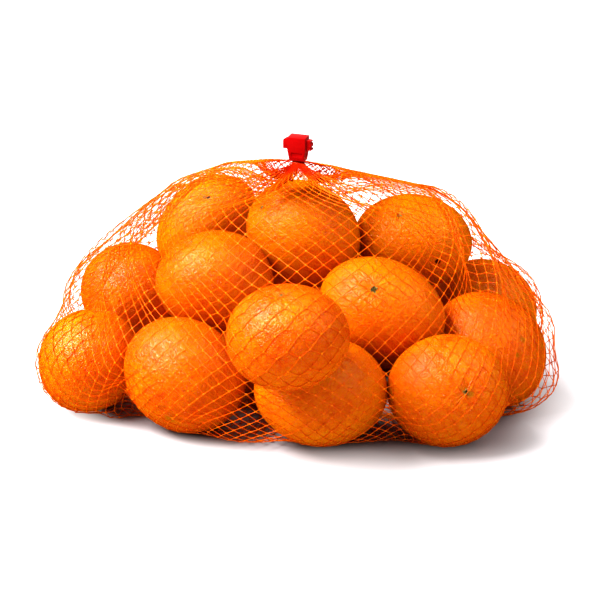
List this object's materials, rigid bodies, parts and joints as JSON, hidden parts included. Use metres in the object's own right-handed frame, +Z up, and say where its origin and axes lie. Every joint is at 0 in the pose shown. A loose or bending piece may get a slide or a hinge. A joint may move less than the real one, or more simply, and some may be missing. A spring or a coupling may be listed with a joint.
{
  "type": "net bag of mandarins",
  "caption": "Mandarins heaped in an orange net bag, with the net gathered up into a red moulded closing clip; lies on its flat underside.",
  "frame": {"origin": "on the ground, under the middle of the bag's box", "axes": "+X along the bag's length, to the right as the clip's face is seen; +Y to the back; +Z up, from the ground to the clip"},
  "size_m": [0.2872, 0.2726, 0.1483],
  "materials": {
    "net": "thin extruded orange strands, fused where they cross, slightly glossy",
    "clip": "red injection-moulded plastic with soft edges",
    "peel": "waxy orange citrus peel with fine pores",
    "stem": "dry green-brown stem button"
  },
  "bodies": {
    "root": {"net_bag": "net", "clip": "clip"}
  },
  "joints": []
}
